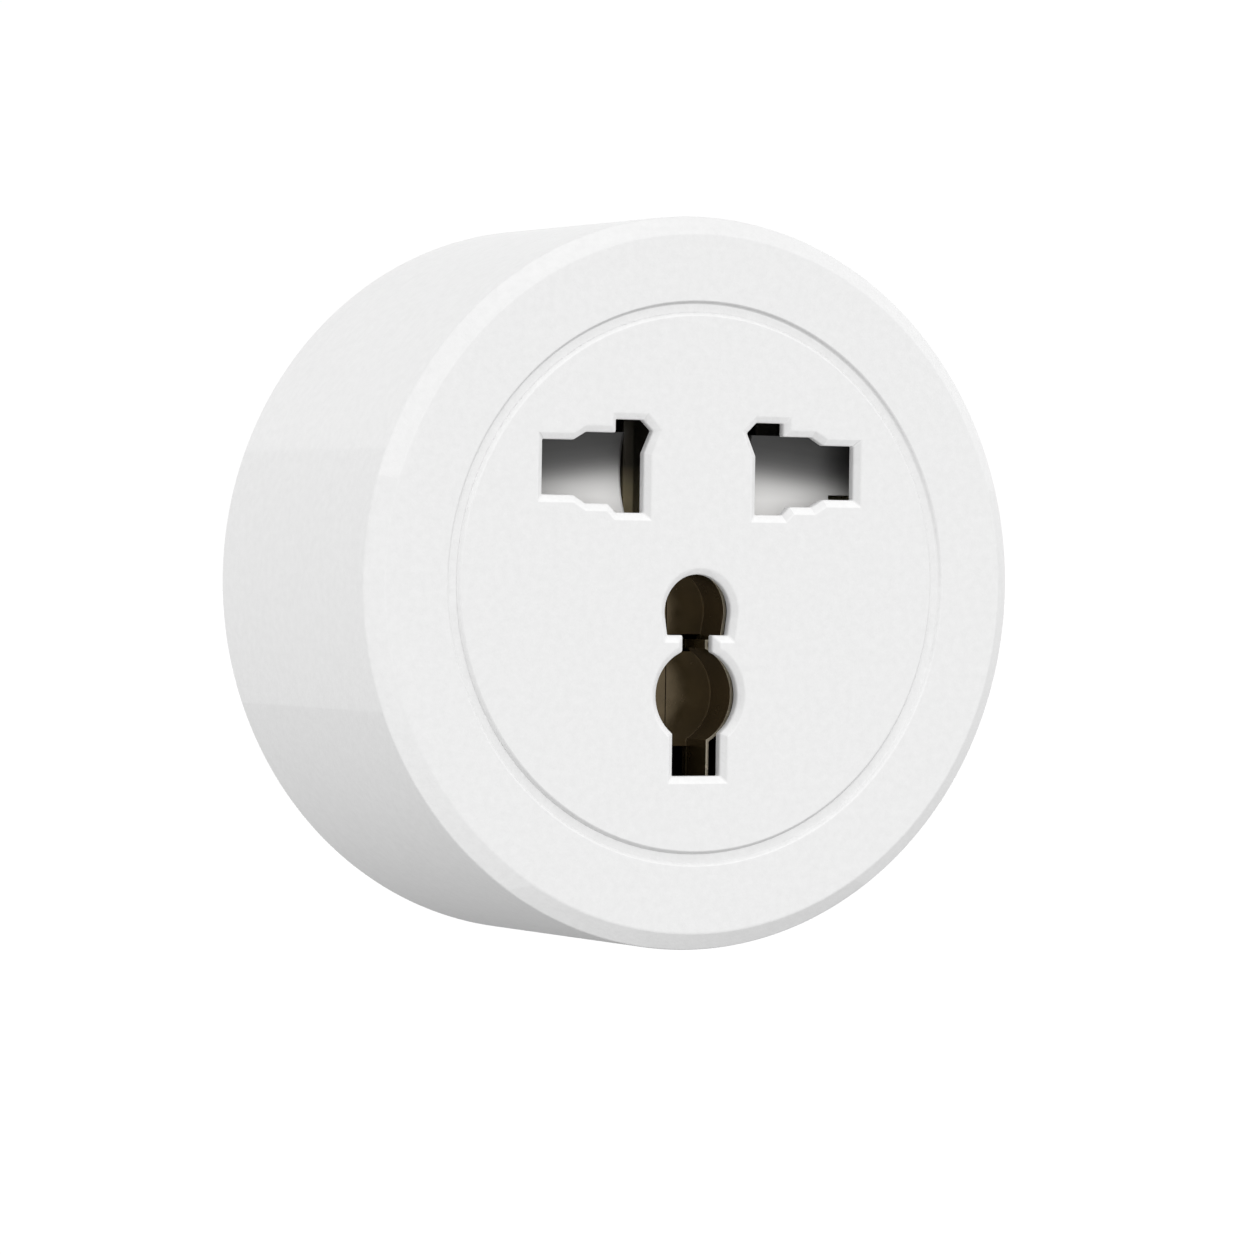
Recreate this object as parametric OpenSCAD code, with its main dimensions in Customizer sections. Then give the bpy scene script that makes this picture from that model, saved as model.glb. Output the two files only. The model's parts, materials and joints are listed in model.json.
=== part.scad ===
// Round plug-in power meter: a three-pin mains plug at the back and a shuttered multi-standard outlet in front,
// with the metering electronics on a board between them.
// X is to the right seen from the front, Y runs from the outlet towards the wall, and Z is up.
// The origin is the centre of the rear face, so the front face lies at Y = -body_depth.
// "Depth" always means distance behind the front face.

/* [Body] */
// Diameter of the housing
body_dia = 64; // [63:0.5:68]
// Depth of the housing, from the front face to the rear face
body_depth = 30.2; // [30:0.2:34]
// Thickness of the side wall
wall_t = 2.2; // [1.8:0.1:2.4]
// Width of the bevel round the front rim
rim_w = 1.5; // [0.8:0.1:2]
// Depth of the bevel round the front rim
rim_d = 1.2; // [0.8:0.1:1.6]
// Thickness of the front ring
ring_t = 2; // [1.8:0.1:2.2]

/* [Outlet face] */
// Radius of the round outlet face
face_r = 23.6; // [23.4:0.1:23.8]
// Width of the shadow groove round the outlet face, at the face
groove_w = 1.3; // [1.1:0.1:1.5]
// Depth of the shadow groove
groove_d = 0.35; // [0.25:0.05:0.6]
// Thickness of the outlet face at the holes
face_t = 1.2; // [1.15:0.05:1.5]
// Width of the bevel round each hole
lead_w = 0.62; // [0.5:0.02:0.7]
// Depth of the bevel round each hole
lead_d = 0.45; // [0.4:0.05:0.8]
// Height of the line and neutral holes above the middle
row_z = 9.9; // [9.5:0.1:10.2]

/* [Shutters] */
// Travel of each shutter when a plug opens it
shutter_travel = 7.2; // [6:0.1:7.2]
// Radius of the hollow that a plug pin slides down
hollow_r = 7.6; // [7.4:0.1:9]
// Wire of the shutter springs
spring_wire = 0.4; // [0.3:0.05:0.5]
// Number of turns in a shutter spring
spring_turns = 6; // [4:1:6]

/* [Plug] */
// Diameter of the line and neutral pins
pin_dia = 5.08; // [4.9:0.02:5.2]
// Length of the line and neutral pins outside the housing
pin_len = 14.9; // [14:0.1:16]
// Distance between the line and neutral pins
pin_pitch = 19.05; // [18.9:0.05:19.2]
// Diameter of the earth pin
earth_dia = 7.06; // [6.9:0.02:7.2]
// Length of the earth pin outside the housing
earth_len = 20.6; // [19.5:0.1:21.5]
// Drop from the line and neutral pins to the earth pin
earth_drop = 22.23; // [22:0.01:22.4]

/* [Button] */
// Radius of the push button
button_r = 3.4; // [3:0.1:3.8]
// Travel of the push button
button_travel = 0.4; // [0.2:0.05:0.4]

/* [Hidden] */
$fn = 96;

gap = 0.2;                 // running clearance between plastic parts
hair = 0.05;               // clearance where one part locates another
seam = 0.02;               // clearance in the seam round the outlet face
groove_lean = 0.25;        // how far each wall of the groove leans outwards
eps = 0.1;                 // overshoot of a cut
body_r = body_dia / 2;
inner_r = body_r - wall_t;

// The stack behind the front face, as depths
flange_d = 3.0;            // back of the outlet face's flange
bay_d = 5.4;               // floor of the shutter bay
floor_t = 1.4;             // thickness of that floor
chamber_d = 17.6;          // end of the line and neutral chambers
earth_end_d = 21.6;        // end of the earth chamber
board_d = 22.4;            // front of the main board
board_t = 1.6;
plate_d = body_depth - 5.1; // front of the plate that clamps the pins
plate_t = 1.2;
cover_t = 2.4;
flange_r = 26;             // outside of the outlet face's flange and of the contact block
bay_r = 22.4;              // inside of both
chamber_wall = 1.0;

// Screws
cover_post_r = 3.0;
cover_post_at = inner_r - cover_post_r + 0.6;
cover_angles = [45, 135, 225, 315];
block_boss_r = 2.2;
block_boss_at = inner_r - block_boss_r + 0.5;
block_angles = [90, 210, 330];
plate_screws_at = [[-7, -3], [7, -3], [0, 11]];

// Pins
earth_z = row_z - earth_drop;
pin_x = pin_pitch / 2;

// Line and neutral hole, at the face: the right-hand one, from the middle outwards
hole_in = 4.95;            // side nearest the middle
hole_blade = 8.95;         // outer side of the tall part that takes a flat blade
hole_mid = 11.4;           // outer side of the part that takes a round pin
hole_out = 16.1;           // outer end of the part that takes a wide bar pin
hole_step = 1.2;           // run of the slope between the last two
blade_low = -4.45;         // heights above and below the row
blade_high = 4.85;
mid_h = 3.7;
bar_h = 3;
tip = [3.95, 3.45];        // corner for a slanted blade
tip_shoulder_x = 5.4;
tip_foot_z = 1.2;

function pin_hole() = [
  [hole_in, blade_low], [hole_blade - 0.4, blade_low], [hole_blade + 0.35, -mid_h], [hole_mid, -mid_h],
  [hole_mid + hole_step, -bar_h], [hole_out, -bar_h], [hole_out, bar_h],
  [hole_mid + hole_step, bar_h], [hole_mid, mid_h], [hole_blade, mid_h], [hole_blade, blade_high],
  [tip_shoulder_x, blade_high], tip, [hole_in, tip_foot_z]
];

// Earth hole behind its bevel: a flat-bottomed round, a neck, a larger round and a bar slot
dee_r = 3.26;
dee_z = -2.46;
dee_side_a = -12;          // where its round ends and its straight sides begin
dee_foot_w = 2.9;          // half widths
dee_foot_z = -4.5;
neck_w = 1.46;
round_r = 4.05;
round_z = -9.75;
bar_w = 2.35;
bar_end_z = -16.78;
arc_step = 5;

function arc(r, z, a0, a1) = let (n = max(2, round((a1 - a0) / arc_step)))
  [for (i = [0:n]) let (a = a0 + (a1 - a0) * i / n) [r * cos(a), z + r * sin(a)]];

// The same outline grown by g all round, with the bar slot's half width w
function keyhole(g, w) = let (
  neck_a = acos((neck_w + g) / (round_r + g)),
  bar_a = acos(w / (round_r + g))
) concat(
  arc(dee_r + g, dee_z, dee_side_a, 180 - dee_side_a),
  [[-dee_foot_w - g, dee_foot_z - g], [-neck_w - g, dee_foot_z - g]],
  arc(round_r + g, round_z, 180 - neck_a, 180 + bar_a),
  [[-w, bar_end_z - g], [w, bar_end_z - g]],
  arc(round_r + g, round_z, 360 - bar_a, 360 + neck_a),
  [[neck_w + g, dee_foot_z - g], [dee_foot_w + g, dee_foot_z - g]]
);

function earth_hole() = keyhole(lead_w, bar_w + lead_w);

// Geometry of outlines
function unit(v) = v / norm(v);
function left(v) = [-v.y, v.x];
function mitre(u, v) = (left(u) + left(v)) / (1 + left(u) * left(v));

// A closed anticlockwise outline moved inwards by d, corner for corner
function inset(p, d) = let (n = len(p))
  [for (i = [0:n - 1]) p[i] + d * mitre(unit(p[i] - p[(i + n - 1) % n]), unit(p[(i + 1) % n] - p[i]))];

// A strip of sheet of thickness t, centred on an open path
function side_of(p, d) = let (n = len(p))
  [for (i = [0:n - 1]) let (
    u = unit(p[max(i, 1)] - p[max(i, 1) - 1]),
    v = unit(p[min(i + 1, n - 1)] - p[min(i + 1, n - 1) - 1])
  ) p[i] + d * mitre(u, v)];
function reversed(p) = [for (i = [len(p) - 1:-1:0]) p[i]];
function sheet_strip(p, t) = concat(side_of(p, t / 2), reversed(side_of(p, -t / 2)));

// A slab with a drawn outline, seen from the front, between two depths
module slab(d0, d1) {
  translate([0, d1 - body_depth, 0]) rotate([90, 0, 0]) linear_extrude(d1 - d0) children();
}

// A cylinder along Y between two depths
module rod(x, z, r, d0, d1) {
  translate([x, d0 - body_depth, z]) rotate([-90, 0, 0]) cylinder(r = r, h = d1 - d0);
}

// A cylinder along X
module cross_rod(x0, x1, y, z, r) {
  translate([x0, y, z]) rotate([0, 90, 0]) cylinder(r = r, h = x1 - x0);
}

// A box given by its ranges in X, in depth and in Z
module block(x, d, z) {
  translate([x[0], d[0] - body_depth, z[0]]) cube([x[1] - x[0], d[1] - d[0], z[1] - z[0]]);
}

// A tube along Y
module ring(r_in, r_out, d0, d1) {
  difference() {
    rod(0, 0, r_out, d0, d1);
    rod(0, 0, r_in, d0 - eps, d1 + eps);
  }
}

module polar(r, a) {
  translate([r * cos(a), 0, r * sin(a)]) children();
}

// The bevelled cut of one hole: a funnel at the face and a straight shaft behind it
module hole_cut(outline, depth) {
  n = len(outline);
  outer = inset(outline, -eps * lead_w / lead_d);
  inner = inset(outline, lead_w);
  translate([0, -body_depth, 0]) polyhedron(
    points = concat(
      [for (p = outer) [p.x, -eps, p.y]],
      [for (p = inner) [p.x, lead_d, p.y]],
      [for (p = inner) [p.x, depth, p.y]]
    ),
    faces = concat(
      [[for (i = [n - 1:-1:0]) i]],
      [[for (i = [0:n - 1]) 2 * n + i]],
      [for (k = [0, 1]) for (i = [0:n - 1]) let (j = (i + 1) % n, a = k * n, b = k * n + n)
        [a + i, a + j, b + j, b + i]]
    )
  );
}

module each_side() {
  for (s = [0, 1]) mirror([s, 0, 0]) children();
}

// ---- Housing ----

button_y = -15;
lens_z = 7;
lens_r = 1.0;
wall_hole_r = button_r + gap;

module front_housing() {
  color("white") difference() {
    union() {
      translate([0, -body_depth, 0]) rotate([-90, 0, 0]) rotate_extrude() polygon([
        [face_r + seam, groove_d], [face_r + groove_w - 2 * groove_lean, groove_d],
        [face_r + groove_w - groove_lean, 0], [body_r - rim_w, 0], [body_r, rim_d],
        [body_r, body_depth], [inner_r, body_depth], [inner_r, ring_t], [face_r + seam, ring_t]
      ]);
      for (a = cover_angles) polar(cover_post_at, a)
        rod(0, 0, cover_post_r, ring_t - 0.5, body_depth - cover_t);
      for (a = block_angles) polar(block_boss_at, a)
        rod(0, 0, block_boss_r, ring_t - 0.5, bay_d);
    }
    for (a = cover_angles) polar(cover_post_at, a) rod(0, 0, 1.25, 12, body_depth);
    for (a = block_angles) polar(block_boss_at, a) rod(0, 0, 1.05, ring_t + 0.4, bay_d + eps);
    cross_rod(inner_r - 3, body_r + 1, button_y, 0, wall_hole_r);
    cross_rod(inner_r - 4, body_r + 1, button_y, lens_z, lens_r + hair);
  }
}

module outlet_face() {
  color("white") difference() {
    union() {
      translate([0, -body_depth, 0]) rotate([-90, 0, 0]) rotate_extrude() polygon([
        [0, 0], [face_r - groove_lean, 0], [face_r, groove_d], [face_r, flange_d],
        [bay_r, flange_d], [bay_r, face_t], [0, face_t]
      ]);
      ring(bay_r, flange_r - gap, ring_t, flange_d);
    }
    for (a = cover_angles) polar(cover_post_at, a)
      rod(0, 0, cover_post_r + gap, ring_t - eps, flange_d + eps);
    for (a = block_angles) polar(block_boss_at, a)
      rod(0, 0, block_boss_r + gap, ring_t - eps, flange_d + eps);
    each_side() hole_cut([for (p = pin_hole()) [p.x, p.y + row_z]], face_t + eps);
    hole_cut(earth_hole(), face_t + eps);
  }
}

// ---- Outlet mechanism ----

shutter_in = 6.2;          // side of a shutter nearest the middle
shutter_out = 17.2;
shutter_top = 13.1;
shutter_foot = 2.9;        // underside, where the spring pushes
shutter_front_d = face_t + gap;
shutter_back_d = bay_d - gap;
shutter_y = (shutter_front_d + shutter_back_d) / 2 - body_depth;
hollow_z = 9.75;           // height of the deepest line of the hollow
hollow_d = 3.3;            // its depth
notch_x = 14.5;            // the outer lower corner is cut away
notch_z = 7.95;
rail_in = [5, 6];          // guide rails on both sides of a shutter
rail_out = [17.4, 18.4];
rail_d = 3.4;
rail_end_z = -8;
spring_x = 11;
spring_r = 1.2;            // to the middle of the wire
seat_z = shutter_foot - shutter_travel - 2.9;
seat_t = 1.2;

function hollow_depth(z) = hollow_d - hollow_r + sqrt(pow(hollow_r, 2) - pow(z - hollow_z, 2));
hollow_foot_z = hollow_z - sqrt(pow(hollow_r, 2) - pow(shutter_front_d - hollow_d + hollow_r, 2));

// Side view of a shutter, as [depth, z]
function shutter_side() = let (n = 20) concat(
  [[shutter_front_d, shutter_foot], [shutter_back_d, shutter_foot], [shutter_back_d, shutter_top]],
  [for (i = [0:n]) let (z = shutter_top + (hollow_foot_z - shutter_top) * i / n) [hollow_depth(z), z]]
);

module shutter() {
  color("whitesmoke") {
    difference() {
      translate([shutter_in, -body_depth, 0]) rotate([90, 0, 90])
        linear_extrude(shutter_out - shutter_in) polygon(shutter_side());
      block([notch_x, shutter_out + 1], [0, bay_d], [shutter_foot + 2, notch_z]);
    }
    translate([spring_x, shutter_y, shutter_foot - 1])
      cylinder(r = spring_r - spring_wire / 2 - 0.15, h = 1.01);
  }
}

// Helical wire between two heights, swept as rings of points along the helix
module coil_spring(z0, z1) {
  sides = 8;
  per_turn = 20;
  n = spring_turns * per_turn;
  pitch = (z1 - z0 - spring_wire) / spring_turns;
  rise = atan(pitch / (2 * PI * spring_r));
  points = [for (i = [0:n]) let (a = 360 * i / per_turn) for (k = [0:sides - 1])
    let (b = 360 * k / sides, u = spring_wire / 2 * cos(b), w = spring_wire / 2 * sin(b)) [
      (spring_r + u) * cos(a) + w * sin(rise) * sin(a),
      (spring_r + u) * sin(a) - w * sin(rise) * cos(a),
      z0 + spring_wire / 2 + pitch * i / per_turn + w * cos(rise)
    ]];
  polyhedron(
    points = points,
    faces = concat(
      [[for (k = [0:sides - 1]) k]],
      [[for (k = [sides - 1:-1:0]) n * sides + k]],
      [for (i = [0:n - 1]) for (k = [0:sides - 1])
        [i * sides + k, (i + 1) * sides + k, (i + 1) * sides + (k + 1) % sides, i * sides + (k + 1) % sides]]
    )
  );
}

module shutter_spring() {
  color("silver") translate([spring_x, shutter_y, 0]) coil_spring(seat_z + hair, shutter_foot - hair);
}

// Dark moulding that holds the contacts and guides the shutters
pocket = [3.8, 16.6];      // line or neutral chamber, outside, in X
pocket_z = [4.9, 15.3];
earth_half_w = 6;
earth_box_z = [-18.9, 2.5];
earth_wall = 0.8;

function grown(a, d) = [a[0] - d, a[1] + d];

module contact_block() {
  color([0.13, 0.12, 0.11]) difference() {
    union() {
      rod(0, 0, flange_r - gap, bay_d, bay_d + floor_t);
      ring(bay_r, flange_r - gap, flange_d, bay_d + 0.01);
      for (a = block_angles) hull() {
        polar(block_boss_at, a) rod(0, 0, block_boss_r - 0.6, bay_d, bay_d + floor_t, $fn = 32);
        polar(flange_r - 4, a) rod(0, 0, block_boss_r, bay_d, bay_d + floor_t, $fn = 32);
      }
      each_side() {
        block(pocket, [bay_d, chamber_d + chamber_wall], pocket_z);
        block(rail_in, [rail_d, bay_d + eps], [rail_end_z, 16]);
        block(rail_out, [rail_d, bay_d + eps], [rail_end_z, 12.5]);
        block([spring_x - 3, spring_x + 3], [face_t + gap, bay_d + eps], [seat_z - seat_t, seat_z]);
      }
      block([-earth_half_w, earth_half_w], [face_t + hair, earth_end_d], earth_box_z);
    }
    for (a = cover_angles) polar(cover_post_at, a) rod(0, 0, cover_post_r + gap, 0, body_depth);
    for (a = block_angles) polar(block_boss_at, a) {
      rod(0, 0, block_boss_r + gap, flange_d - eps, bay_d);
      rod(0, 0, 1.25, bay_d - eps, bay_d + floor_t + eps);
    }
    each_side() {
      block(grown(pocket, -chamber_wall), [bay_d + floor_t, chamber_d], grown(pocket_z, -chamber_wall));
      slab(bay_d - eps, bay_d + floor_t + eps)
        polygon(inset([for (p = pin_hole()) [p.x, p.y + row_z]], lead_w));
      block([12.2, 14.6], [chamber_d - eps, chamber_d + chamber_wall + eps], [row_z + 1.9, row_z + 2.9]);
    }
    block(
      [-earth_half_w + earth_wall, earth_half_w - earth_wall],
      [0, earth_end_d - earth_wall],
      grown(earth_box_z, -earth_wall)
    );
    block([-1.4, 1.4], [earth_end_d - 1, earth_end_d + eps], [-5.2, -4.2]);
  }
}

// Bronze jaws, seen from the side as [depth, height above the row]
jaw_t = 0.6;
jaw_path = [
  [7.4, 3.4], [9.8, 1.0], [11.4, 1.0], [16.8, 3.6],
  [16.8, -3.6], [11.4, -1.0], [9.8, -1.0], [7.4, -3.4]
];
tab_end_d = board_d + board_t + 0.6;

module pin_contact() {
  color([0.72, 0.5, 0.25]) {
    translate([pocket[0] + chamber_wall + gap, -body_depth, row_z]) rotate([90, 0, 90])
      linear_extrude(pocket[1] - pocket[0] - 2 * chamber_wall - 2 * gap)
        polygon(sheet_strip(jaw_path, jaw_t));
    block([12.4, 14.4], [16.8, tab_end_d], [row_z + 2.1, row_z + 2.7]);
  }
}

// Bronze earth stamping: a collar round the hole, landing leaves and the jaws behind them
collar_t = 0.25;
collar_g = 0.42;           // how far the collar stands outside the hole
collar_bar_w = 2.1;
collar_d = [2.4, 6.8];
leaf_d = 6.1;
leaf_t = 0.5;
leaf_slit = 0.03;          // half the slit between the leaves
leaf_end_z = -14.36;
leaf_neck_z = [-6, -4.5];
earth_jaw_h = 12;
earth_jaw_d = [12, 16, 20.3];
earth_jaw_x = 2.6;

module earth_contact() {
  color([0.45, 0.32, 0.18]) {
    difference() {
      slab(collar_d[0], collar_d[1]) polygon(keyhole(collar_g + collar_t, collar_bar_w + collar_t));
      slab(0, collar_d[1] + eps) polygon(keyhole(collar_g, collar_bar_w));
    }
    difference() {
      slab(leaf_d, leaf_d + leaf_t) polygon(keyhole(collar_g + collar_t / 2, collar_bar_w + collar_t / 2));
      block([-leaf_slit, leaf_slit], [0, 10], [-20, 5]);
      block([-4, 4], [0, 10], leaf_neck_z);
      block([-4, 4], [0, 10], [-20, leaf_end_z]);
    }
    each_side() translate([0, 0, leaf_end_z]) linear_extrude(earth_jaw_h) translate([0, -body_depth])
      polygon(sheet_strip([
        [leaf_slit + jaw_t / 2, leaf_d + 0.1], [leaf_slit + jaw_t / 2, earth_jaw_d[0]],
        [earth_jaw_x, earth_jaw_d[1]], [earth_jaw_x, earth_jaw_d[2]], [-0.1, earth_jaw_d[2]]
      ], jaw_t));
    block([-1.2, 1.2], [earth_jaw_d[2], tab_end_d], [-5.0, -4.4]);
  }
}

// ---- Plug ----

label = [22, 8];
label_z = 20.2;
pin_shoulder = 0.5;
pin_flange = 1.7;
pin_flange_t = 1.5;
tail_r = 1.4;
plate_r = 5.6;
boss_r = 2.2;              // bosses of the cover under the plate screws
pillar_at = 24;            // pillars of the cover behind the main board
pillar_r = 1.6;

// A screw along Z: underside of its head at 0, head below, shaft above
module screw(head_r, head_h, shaft_r, shaft_l) {
  slot = [head_r * 1.3, head_r * 0.3];
  color([0.75, 0.75, 0.77]) {
    difference() {
      translate([0, 0, -head_h]) cylinder(r1 = head_r * 0.85, r2 = head_r, h = head_h);
      for (a = [0, 90]) rotate([0, 0, a])
        translate([-slot[0] / 2, -slot[1] / 2, -head_h - eps]) cube([slot[0], slot[1], head_h * 0.6 + eps]);
    }
    translate([0, 0, -0.01]) cylinder(r = shaft_r, h = shaft_l);
  }
}

module rear_cover() {
  cover_d = body_depth - cover_t;
  color("white") difference() {
    union() {
      rod(0, 0, inner_r - 0.1, cover_d, body_depth);
      ring(inner_r - 1.8, inner_r - 0.4, cover_d - 2, cover_d + 0.01);
      for (p = plate_screws_at) rod(p.x, p.y, boss_r, plate_d + plate_t, cover_d + 0.01);
      for (a = [0, 180]) polar(pillar_at, a) rod(0, 0, pillar_r, board_d + board_t, cover_d + 0.01);
    }
    for (a = cover_angles) polar(cover_post_at, a) {
      rod(0, 0, cover_post_r + gap, cover_d - 3, cover_d);
      rod(0, 0, 1.5, cover_d - eps, body_depth + eps);
      rod(0, 0, 2.9, body_depth - 1.3, body_depth + eps);
    }
    for (s = [-1, 1]) rod(s * pin_x, row_z, pin_dia / 2 + pin_shoulder + hair, cover_d - eps, body_depth + eps);
    rod(0, earth_z, earth_dia / 2 + pin_shoulder + hair, cover_d - eps, body_depth + eps);
    block(
      [-label.x / 2, label.x / 2],
      [body_depth - 0.25, body_depth + eps],
      [label_z - label.y / 2, label_z + label.y / 2]
    );
    for (p = plate_screws_at) rod(p.x, p.y, 0.95, plate_d, cover_d + 1.4);
  }
}

// A pin turned from bar: tail, flange, shoulder in the cover, and a shaft with a rounded end
module plug_pin(r, length, x, z) {
  round_end = 1.2;
  tail_y = board_d - 0.4 - body_depth;
  color([0.8, 0.8, 0.78]) translate([x, 0, z]) rotate([-90, 0, 0]) rotate_extrude() polygon(concat(
    [
      [0, tail_y], [tail_r, tail_y], [tail_r, -cover_t - pin_flange_t],
      [r + pin_flange, -cover_t - pin_flange_t], [r + pin_flange, -cover_t],
      [r + pin_shoulder, -cover_t], [r + pin_shoulder, -0.02], [r, -0.02]
    ],
    [for (a = [0:10:80])
      [r - round_end + round_end * cos(a), length - round_end + round_end * sin(a)]],
    [[r - round_end, length], [0, length]]
  ));
}

module pin_plate() {
  color([0.25, 0.25, 0.27]) difference() {
    hull() {
      for (s = [-1, 1]) rod(s * pin_x, row_z, plate_r, plate_d, plate_d + plate_t, $fn = 48);
      rod(0, earth_z, plate_r, plate_d, plate_d + plate_t, $fn = 48);
    }
    for (s = [-1, 1]) rod(s * pin_x, row_z, tail_r + hair, plate_d - eps, plate_d + plate_t + eps);
    rod(0, earth_z, tail_r + hair, plate_d - eps, plate_d + plate_t + eps);
    for (p = plate_screws_at) rod(p.x, p.y, 1.1, plate_d - eps, plate_d + plate_t + eps);
  }
}

module plate_screws() {
  for (p = plate_screws_at) translate([p.x, plate_d - body_depth, p.y]) rotate([-90, 0, 0])
    screw(1.9, 0.8, 0.95, 3.6, $fn = 32);
}

module block_screws() {
  for (a = block_angles) polar(block_boss_at, a)
    translate([0, bay_d + floor_t - body_depth, 0]) rotate([90, 0, 0]) screw(1.8, 1.2, 1.05, 4, $fn = 32);
}

module cover_screws() {
  for (a = cover_angles) polar(cover_post_at, a)
    translate([0, -1.3, 0]) rotate([90, 0, 0]) screw(2.7, 1.1, 1.25, 11, $fn = 32);
}

// ---- Electronics ----

board_r = 28.4;

module main_board() {
  color([0.1, 0.36, 0.2]) difference() {
    rod(0, 0, board_r, board_d, board_d + board_t);
    for (a = cover_angles) polar(cover_post_at, a)
      rod(0, 0, cover_post_r + gap, board_d - eps, board_d + board_t + eps);
    for (s = [-1, 1]) {
      rod(s * pin_x, row_z, tail_r + hair, board_d - eps, board_d + board_t + eps);
      block(
        [s * 13.4 - 1.05, s * 13.4 + 1.05],
        [board_d - eps, board_d + board_t + eps],
        [row_z + 2.05, row_z + 2.75]
      );
    }
    rod(0, earth_z, tail_r + hair, board_d - eps, board_d + board_t + eps);
    block([-1.25, 1.25], [board_d - eps, board_d + board_t + eps], [-5.05, -4.35]);
  }
}

module relay() {
  color([0.12, 0.2, 0.42]) difference() {
    block([-10.3, 10.3], [9, board_d], [16.2, 27.2]);
    block([-8.8, 8.8], [9 - eps, 9.3], [17.7, 25.7]);
  }
}

// Ferrite frame with a window on each side of its middle leg
core_x = [-19.4, -7];
core_z = [-7.4, 4.2];
core_mid = (core_x[0] + core_x[1]) / 2;
core_leg = 1.7;
core_d = [12.4, 20.4];

module transformer_core() {
  color([0.2, 0.2, 0.21]) difference() {
    block(core_x, core_d, core_z);
    for (s = [0, 1]) block(
      [core_mid + s * core_leg - (1 - s) * 4.7, core_mid - (1 - s) * core_leg + s * 4.7],
      [core_d[0] - eps, core_d[1] + eps],
      grown(core_z, -2)
    );
  }
}

module transformer_coil() {
  wide = [core_mid - 4.5, core_mid + 4.5];
  tall = grown(core_z, -2.1);
  color([0.85, 0.7, 0.2]) difference() {
    union() {
      block(wide, [core_d[0] - 2.2, core_d[1] + 1.9], grown(tall, -0.9));
      for (z = [tall[0], tall[1] - 1]) block(wide, [core_d[0] - 2.4, board_d], [z, z + 1]);
    }
    block(
      [core_mid - core_leg - hair, core_mid + core_leg + hair],
      [core_d[0] - hair, core_d[1] + hair],
      [core_z[0], core_z[1]]
    );
  }
}

// Electrolytic capacitor standing on the main board
module bulk_capacitor(x, z, r, d0) {
  color([0.12, 0.14, 0.2]) translate([x, d0 - body_depth, z]) rotate([-90, 0, 0]) rotate_extrude() polygon([
    [0, 0.3], [r - 0.8, 0.3], [r - 0.8, 0], [r - 0.3, 0], [r, 0.4], [r, board_d - d0 - 1.8],
    [r - 0.3, board_d - d0 - 1.5], [r, board_d - d0 - 1.2], [r, board_d - d0], [0, board_d - d0]
  ]);
}

module line_capacitor() {
  color([0.85, 0.65, 0.1]) block([-7, 7], [11.4, board_d], [-27, -21]);
}

module varistor() {
  color([0.1, 0.3, 0.6]) {
    cross_rod(8.6, 12.4, 16 - body_depth, -12, 5);
    block([9.2, 11.8], [20, board_d], [-15, -14]);
    block([9.2, 11.8], [20, board_d], [-10, -9]);
  }
}

module fuse() {
  color([0.35, 0.5, 0.38]) {
    rod(16.4, -13.2, 1.8, 12, 20.6);
    rod(16.4, -13.2, 0.6, 20, board_d);
  }
}

choke = [15.9, -7.2];

module line_choke() {
  color([0.16, 0.16, 0.17]) {
    rod(choke.x, choke.y, 3.2, 12.6, 13.6);
    rod(choke.x, choke.y, 2.4, 13.5, 20.6);
    rod(choke.x, choke.y, 3.2, 20.5, board_d);
  }
}

module shunt_strip() {
  color([0.6, 0.45, 0.35]) translate([0, 0, 10]) linear_extrude(4.6) translate([0, -body_depth])
    polygon(sheet_strip([[-23.4, board_d], [-23.4, 18], [-18.4, 18], [-18.4, board_d]], 0.8));
}

// A moulded chip with two rows of legs, flat on the main board
module chip(x, z, h, legs) {
  body = grown(x, -0.8);
  pitch = (z[1] - z[0]) / legs;
  color([0.13, 0.13, 0.14]) block(body, [board_d - h, board_d - 0.2], z);
  color("silver") for (i = [0:legs - 1])
    block(x, [board_d - 0.5, board_d], [z[0] + pitch * (i + 0.3), z[0] + pitch * (i + 0.7)]);
}

module metering_chip() {
  chip([-26, -19.6], [4.6, 9.2], 1.8, 5);
}

module rectifier() {
  chip([7.4, 14.4], [-3.8, 2.2], 2.8, 2);
}

module supply_chip() {
  chip([15, 19.4], [0, 4.2], 1.8, 4);
}

control_x = [22.2, 23.2];
control_z = [-10, 10.5];
switch_half = 3;
switch_front_x = 26.4;
plunger_x = 25.6;
button_flange_x = [28.6, 29.3];

module control_board() {
  color([0.08, 0.3, 0.18]) block(control_x, [9.5, board_d], control_z);
}

module board_header() {
  color([0.12, 0.12, 0.12]) block([20.6, control_x[0]], [20.4, board_d], [-9, 9]);
}

module radio_shield() {
  color("silver") difference() {
    block([20, control_x[0]], [10.6, 19.6], [-8.6, 3.8]);
    block([19.7, 20.15], [11.4, 18.8], [-7.8, 3]);
  }
}

module tact_switch() {
  color([0.15, 0.15, 0.16]) difference() {
    translate([control_x[1], button_y - switch_half, -switch_half])
      cube([switch_front_x - control_x[1], 2 * switch_half, 2 * switch_half]);
    cross_rod(plunger_x - button_travel - gap, switch_front_x + 1, button_y, 0, 1.45);
  }
}

module switch_plunger() {
  color([0.55, 0.5, 0.45]) cross_rod(plunger_x, button_flange_x[0], button_y, 0, 1.2);
}

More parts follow.
